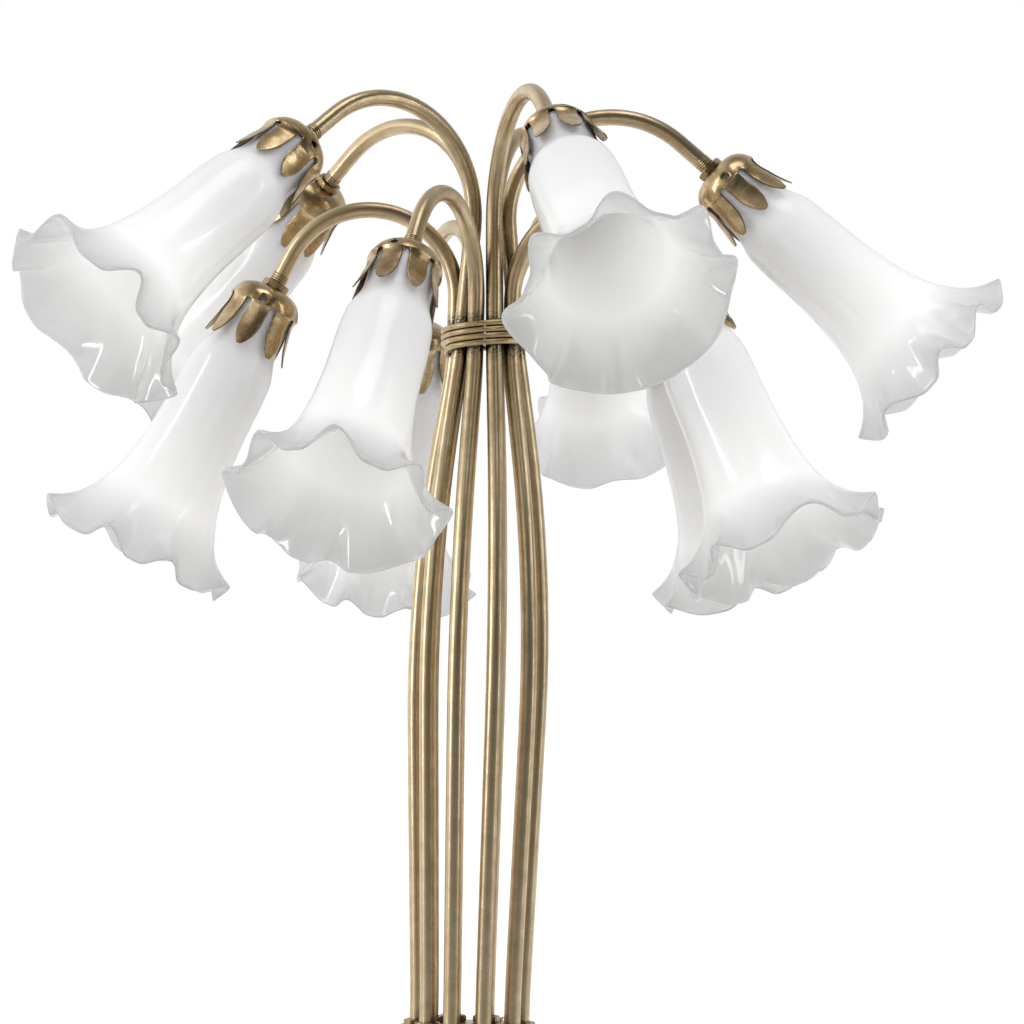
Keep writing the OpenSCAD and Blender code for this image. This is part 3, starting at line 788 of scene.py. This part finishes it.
def slot_half_width(s):
    """Half the width of the slit between two sepals."""
    half = SLOT_W / 2
    if s < SLOT_ROOT:
        return math.sqrt(max(0.0, half**2 - (SLOT_ROOT - s) ** 2))
    tip = math.pi * (CAP_R + SEPAL_FLARE) / SEPALS - SEPAL_TIP_W / 2
    return half + (tip - half) * ((s - SLOT_ROOT) / (CAP_LENGTH - SLOT_ROOT)) ** SEPAL_BREADTH


def cap_rows():
    """Distances below the crown of the grid's rows."""
    dome = [CAP_DOME_H * (1 - math.cos(math.pi / 2 * k / DOME_ROWS)) for k in range(DOME_ROWS + 1)]
    root = [SLOT_ROOT - SLOT_W / 2 + x for x in (0.0, 0.15, 0.5, 1.0, 1.7)]
    shares = [1 - (1 - k / SKIRT_ROWS) ** SKIRT_CROWDING for k in range(1, SKIRT_ROWS + 1)]
    return dome + root + [SLOT_ROOT + (CAP_LENGTH - SLOT_ROOT) * share for share in shares]


def bump_at(s, height, place, width):
    """A soft bump across the sheet, read at distance s."""
    return height * math.exp(-(((s - place) / width) ** 2))


def sepal_point(s, u, turn, bend):
    """A point of a sepal at distance s below the crown and u from -1 to 1 across it."""
    lift, lean, twist = bend
    r = cap_radius(s)
    t = max(0.0, (s - SLOT_ROOT) / (CAP_LENGTH - SLOT_ROOT))
    half = math.pi / SEPALS
    if s > SLOT_ROOT - SLOT_W / 2:
        half -= slot_half_width(s) / r
    flat = TIP_FLATNESS * t**0.5
    out = r * (math.cos(u * half) * (1 - flat) + flat)
    out += (bump_at(s, *RIDGE) + bump_at(s, *HOLLOW)) * math.cos(u * math.pi / 2) ** 0.5
    out += lift * t**2 + twist * r * math.sin(u * half) * t * 2
    sideways = r * math.sin(u * half) + lean * t**2
    return (
        out * math.cos(turn) - sideways * math.sin(turn),
        out * math.sin(turn) + sideways * math.cos(turn),
        s,
    )


def add_sepal(grid, edge_shade_layer, k, bend):
    """One eighth of the cap: the sheet from its bore to a sepal's tip."""
    pitch = 2 * math.pi / SEPALS
    rows = cap_rows()
    across = [2 * c / SEPAL_COLUMNS - 1 for c in range(SEPAL_COLUMNS + 1)]
    turns = [(k + u / 2) * pitch for u in across]
    previous = [grid.verts.new((BORE_R * math.cos(a), BORE_R * math.sin(a), 0.0)) for a in turns]
    for s in rows:
        row = []
        for u in across:
            vert = grid.verts.new(sepal_point(s, u, k * pitch, bend))
            if s > SLOT_ROOT - SLOT_W / 2:
                vert[edge_shade_layer] = EDGE_SHADE * max(0.0, (abs(u) - EDGE_FROM) / (1 - EDGE_FROM))
            if s == rows[-1]:
                vert[edge_shade_layer] = EDGE_SHADE
            row.append(vert)
        for c in range(SEPAL_COLUMNS):
            grid.faces.new((previous[c], row[c], row[c + 1], previous[c + 1]))
        previous = row


def make_cap(number, chance):
    """A cap of eight sepals, each bent by its own amounts."""
    bends = [
        (chance.uniform(*BENT_OUT), chance.uniform(*LEANT), chance.uniform(*TWISTED))
        for _ in range(SEPALS)
    ]
    grid = bmesh.new()
    edge_shade_layer = grid.verts.layers.float.new("edge")
    for k, bend in enumerate(bends):
        add_sepal(grid, edge_shade_layer, k, bend)
    bmesh.ops.remove_doubles(grid, verts=grid.verts, dist=1e-4)
    open_vents(grid, edge_shade_layer)
    points = [v.co.copy() for v in grid.verts]
    values = {"edge": [v[edge_shade_layer] for v in grid.verts]}
    grid.verts.index_update()
    faces = [[v.index for v in f.verts] for f in grid.faces]
    grid.free()
    cap = make_piece(
        "pressed_cap_" + number,
        points,
        faces,
        cap_brass,
        "head_" + number,
        "antique_brass",
        place=HEADS[number] @ Matrix.Translation((0, 0, CROWN_S * MM)),
        replaces=["sepal_cap_" + number],
        values=values,
    )
    sheet = cap.modifiers.new("sheet", "SOLIDIFY")
    sheet.thickness = CAP_WALL * MM
    sheet.offset = 1.0
    return cap


def open_vents(grid, edge_shade_layer):
    """Takes out the faces inside each vent and rounds the hole's edge."""
    for k in range(VENTS):
        turn = 2 * math.pi * k / VENTS
        r = cap_radius(VENT_S)
        centre = Vector((r * math.cos(turn), r * math.sin(turn), VENT_S))
        inside = [f for f in grid.faces if (f.calc_center_median() - centre).length < VENT_R]
        bmesh.ops.delete(grid, geom=inside, context="FACES")
        for v in grid.verts:
            offset = v.co - centre
            if v.is_boundary and offset.length < VENT_R * 1.7:
                v.co = centre + offset.normalized() * VENT_R
                v[edge_shade_layer] = EDGE_SHADE


caps = [make_cap(number, chance) for number in NUMBERS]
print(len(caps), "caps of", len(caps[0].data.polygons), "faces each")

# %% [markdown]
# # Bulbs
# A small globe bulb has a thin glass envelope, a screw shell and a wire filament on a glass stem. A
# solid glass ball would bend the view like a lens, so the envelope is drawn as a thin shell with an
# outside and an inside. It casts no shadow, because a path tracer finds light through clear glass
# slowly and the bell round the bulb would turn grey.

# %% Bulbs
SOCKET_END_S = 44.2
BULB_FLOOR_S = 20.3
BULB_CAP_R = 6.2
GLOBE_R = 14.0
GLOBE_S = 78.2
ENVELOPE_WALL = 0.6
ENVELOPE_AROUND = 40
GLOBE_JOIN = math.radians(125)
NECK_POINTS, GLOBE_POINTS = 8, 14
NECK_EASE = 0.35


def envelope_line(shrink):
    """The envelope's side as (radius, distance), from its neck to its tip."""
    neck_s, neck_r = SOCKET_END_S + 1.0, BULB_CAP_R - 0.2
    join_r, join_s = GLOBE_R * math.sin(GLOBE_JOIN), GLOBE_S + GLOBE_R * math.cos(GLOBE_JOIN)
    line = []
    for k in range(NECK_POINTS + 1):
        t = k / NECK_POINTS
        ease = t * t * (3 - 2 * t) * NECK_EASE + t * (1 - NECK_EASE)
        line.append((neck_r + (join_r - neck_r) * ease - shrink, neck_s + (join_s - neck_s) * t))
    for k in range(1, GLOBE_POINTS + 1):
        a = GLOBE_JOIN * (1 - k / GLOBE_POINTS)
        r = GLOBE_R - shrink
        line.append((r * math.sin(a) + 0.001, GLOBE_S + r * math.cos(a)))
    return line


print("the envelope's side has", len(envelope_line(0.0)), "points")

# %% Screw shell and filament
FIT = 0.3
SHELL_HOLE_R = 0.8
SHELL_TURNS = 6
SHELL_PITCH = 4.2
SHELL_RIDGE = 0.35
SHELL_AROUND = 32
POST_R = 1.6
POST_END_S = GLOBE_S - 10
FILAMENT_R = 0.18
FILAMENT_HALF = 4.0
FILAMENT_S = POST_END_S + 9
FILAMENT_ZIGZAG = 9
LEAD_HALF = 1.2


def shell_line():
    """The screw shell's side as (radius, distance), from its foot to the envelope."""
    foot = BULB_FLOOR_S + FIT
    line = [(SHELL_HOLE_R, foot), (3.2, foot), (3.6, BULB_FLOOR_S + 2.0)]
    for k in range(SHELL_TURNS * 4 + 1):
        s = BULB_FLOOR_S + 3.5 + k * SHELL_PITCH / 4
        r = BULB_CAP_R - SHELL_RIDGE + SHELL_RIDGE * math.cos(math.pi / 2 * k)
        line.append((r, min(s, SOCKET_END_S + 1.5)))
    return line + [(BULB_CAP_R - 0.1, SOCKET_END_S + 2.0), (SHELL_HOLE_R, SOCKET_END_S + 2.0)]


def filament_route():
    """The two leads and the zigzag of the filament between them."""
    route = [Vector((-LEAD_HALF, 0, POST_END_S - 1)), Vector((-FILAMENT_HALF, 0, FILAMENT_S))]
    for k in range(1, FILAMENT_ZIGZAG):
        t = k / FILAMENT_ZIGZAG
        x = FILAMENT_HALF * (2 * t - 1)
        route.append(Vector((x, 0.5 * (-1) ** k, FILAMENT_S + 2.2 * math.sin(math.pi * t))))
    return route + [Vector((FILAMENT_HALF, 0, FILAMENT_S)), Vector((LEAD_HALF, 0, POST_END_S - 1))]


def make_bulb(number):
    """A bulb's envelope, which lets light pass unshaded, with its shell, post and filament."""
    envelope = revolve(envelope_line(0.0) + envelope_line(ENVELOPE_WALL)[::-1], ENVELOPE_AROUND)
    shell = revolve(shell_line(), SHELL_AROUND)
    upright = [Vector((0, 0, SOCKET_END_S + 2)), Vector((0, 0, POST_END_S))]
    post = sweep(upright, POST_R, up=Vector((0, 1, 0)))
    filament = sweep(filament_route(), FILAMENT_R, sides=6, up=Vector((0, 1, 0)))
    facts = {"body": "bulb_" + number, "slot": "bulb_glass", "place": HEADS[number]}
    glass = make_piece("bulb_glass_" + number, *envelope, clear_glass, replaces=["bulb_" + number], **facts)
    glass.visible_shadow = False
    glass.visible_diffuse = False
    make_piece("bulb_cap_" + number, *shell, screw_shell, **facts)
    make_piece("bulb_post_" + number, *post, clear_glass, **facts)
    make_piece("bulb_filament_" + number, *filament, tungsten, **facts)
    return glass


bulbs = [make_bulb(number) for number in NUMBERS]
print(len(bulbs), "bulbs with envelopes of", len(bulbs[0].data.polygons), "faces")

# %% [markdown]
# # Nuts and threads
# A lock nut is a slice of hexagonal bar whose corners are turned off by a chamfer, and that chamfer
# is what catches the light. CAD draws the plain hexagon, so here each nut is redrawn as a revolved
# ring whose outer radius follows the hexagon, with less of the corner at the two faces. Above each
# nut a few turns of the tube's thread show, drawn coarser than the real 0.94 mm so that they show.

# %% Nuts
NUT_FLATS = 14.0
NUT_H = 4.0
TUBE_R = 4.75
THREAD_GAP = 0.15
NUT_AROUND = 72
CHAMFER_R = 7.15
CHAMFER_H = 0.55
CORNER_R = 8.2
BORE_CHAMFER = 0.5


def nut_mesh():
    """One nut about z, from z 0 to its height."""
    bore = TUBE_R + THREAD_GAP
    levels = [(0.0, CHAMFER_R), (CHAMFER_H, CORNER_R), (NUT_H - CHAMFER_H, CORNER_R), (NUT_H, CHAMFER_R)]
    points = []
    for j in range(NUT_AROUND):
        angle = 2 * math.pi * j / NUT_AROUND
        hexagon = NUT_FLATS / 2 / math.cos(abs((angle % (math.pi / 3)) - math.pi / 6))
        ring = [(bore + BORE_CHAMFER, 0.0)]
        ring += [(min(hexagon, limit), z) for z, limit in levels]
        ring += [(bore + BORE_CHAMFER, NUT_H), (bore, NUT_H - BORE_CHAMFER), (bore, BORE_CHAMFER)]
        points += [(r * math.cos(angle), r * math.sin(angle), z) for r, z in ring]
    return points, ring_faces(len(points) // NUT_AROUND, NUT_AROUND)


def make_nuts(name, places, replaces):
    """All nuts of one group as one piece."""
    points, faces = [], []
    nut_points, nut_faces = nut_mesh()
    for place in places:
        start = len(points)
        points += [(place @ (Vector(p) * MM)) / MM for p in nut_points]
        faces += [tuple(i + start for i in face) for face in nut_faces]
    return make_piece(name, points, faces, nut_brass, "stand", "dark_brass", replaces=replaces, sharp=25.0)


BASE_TOP = 45.0
LOWER_NUT_Z = 36.5
FOOT_RING_R = 30.1


def foot_places():
    """Where the nuts above and below the base's top lie, in line with each arm."""
    places = []
    for number in NUMBERS:
        axis = HEADS[number].translation
        azimuth = math.atan2(axis.y, axis.x)
        for z in (BASE_TOP, LOWER_NUT_Z):
            out = Matrix.Translation((FOOT_RING_R * MM, 0, z * MM))
            places.append(Matrix.Rotation(azimuth, 4, "Z") @ out)
    return places


head_places = [HEADS[number] @ Matrix.Translation((0, 0, -NUT_H / 2 * MM)) for number in NUMBERS]
make_nuts("lock_nuts_heads", head_places, ["head_nuts"])
make_nuts("lock_nuts_foot", foot_places(), ["foot_nuts"])
print(len(head_places), "nuts at the heads and", len(foot_places()), "at the foot")

# %% Threads
THREAD_PITCH = 1.4
THREAD_TURNS = 4.0
THREAD_RISE = 0.4
THREAD_STEPS = 24
THREAD_START = -NUT_H / 2 - 0.3
TAPER_FROM, TAPER_STEPS = 0.2, 10


def make_thread(number):
    """A few turns of thread on the tube, just before its nut, tapering at both ends."""
    count = int(THREAD_TURNS * THREAD_STEPS)
    path, radii = [], []
    for k in range(count + 1):
        turn = 2 * math.pi * k / THREAD_STEPS
        z = THREAD_START - THREAD_PITCH * k / THREAD_STEPS
        path.append(Vector((TUBE_R * math.cos(turn), TUBE_R * math.sin(turn), z)))
        from_end = min(k, count - k)
        radii.append(THREAD_RISE * min(1.0, TAPER_FROM + from_end / TAPER_STEPS))
    points, faces = sweep(path, radii, sides=6)
    name = "tube_thread_" + number
    return make_piece(name, points, faces, nut_brass, "stand", "dark_brass", place=HEADS[number])


threads = [make_thread(number) for number in NUMBERS]
print(len(threads), "threads of", THREAD_TURNS, "turns")

# %% [markdown]
# # The wire tie
# One brass wire is wound nearly four times round the stems. The winding slants a little and its lower
# end is tucked down between two stems. CAD draws the same winding with six sides. Here it is a round
# wire on the same line, 0.3 mm thicker so that the turns almost touch, with tapered ends.

# %% Wire tie
TIE_R = 18.12
TIE_Z = 443.0
TIE_GAP = 0.4
WIRE_D = 3.4
WIRE_PITCH = 3.7
WIRE_TURNS = 3.6
WIRE_START = math.radians(218)
WIRE_RISE = 4.9
TIE_SLANT = math.radians(4.6)
TUCK_STEPS = 5
TUCK_IN = 1.6
TUCK_DOWN = 3.0
WIRE_TIP, WIRE_TAPER = 0.55, 0.15
WIRE_PATH_R = TIE_R + TUBE_R + TIE_GAP + WIRE_D / 2
WIRE_START_Z = TIE_Z + WIRE_RISE - WIRE_PITCH * WIRE_TURNS / 2
WIRE_STEPS = 64


def make_tie():
    """The winding as one wire, from its tucked lower end to its upper one."""
    path, radii = [], []
    count = int(WIRE_TURNS * WIRE_STEPS)
    for k in range(-TUCK_STEPS, count + 1):
        angle = WIRE_START + 2 * math.pi * k / WIRE_STEPS
        tucked = max(0.0, -k / TUCK_STEPS)
        r = WIRE_PATH_R - TUCK_IN * tucked**2
        z = WIRE_START_Z + WIRE_PITCH * k / WIRE_STEPS - TUCK_DOWN * tucked**1.5
        z += WIRE_PATH_R * math.cos(angle) * math.tan(TIE_SLANT)
        path.append(Vector((r * math.cos(angle), r * math.sin(angle), z)))
        from_end = min(k + TUCK_STEPS, count - k)
        radii.append(WIRE_D / 2 * min(1.0, WIRE_TIP + WIRE_TAPER * from_end))
    points, faces = sweep(path, radii, sides=16)
    make_piece("wound_tie", points, faces, wire_brass, "stand", "dark_brass", replaces=["tie_wire"])


make_tie()
print("wire tie of", WIRE_TURNS, "turns round", round(WIRE_PATH_R, 2), "mm")

# %% [markdown]
# # Finishing the CAD pieces
# The pieces whose CAD shape is right keep it and only get their finish.

# %% Carried-over pieces
FINISHES = {
    "stem_": tube_brass,
    "sepal_cap_": cap_brass,
    "glass_shade_": opal,
    "socket_": porcelain,
    "bulb_": clear_glass,
    "tie_wire": wire_brass,
    "head_nuts": nut_brass,
    "foot_nuts": nut_brass,
    "base_shell": spun_brass,
    "stem_plate": zinc_steel,
    "base_weight": cast_iron,
    "weight_bolt": zinc_steel,
    "felt_pad": felt,
    "cord_bushing": nylon,
}


def finish_node(name, piece):
    """Gives a CAD piece the finish of the longest name that starts its own."""
    key = max((k for k in FINISHES if name.startswith(k)), key=len)
    piece.data.materials.clear()
    piece.data.materials.append(FINISHES[key])


for name, piece in NODES.items():
    finish_node(name, piece)
print("finished", len(NODES), "CAD pieces")
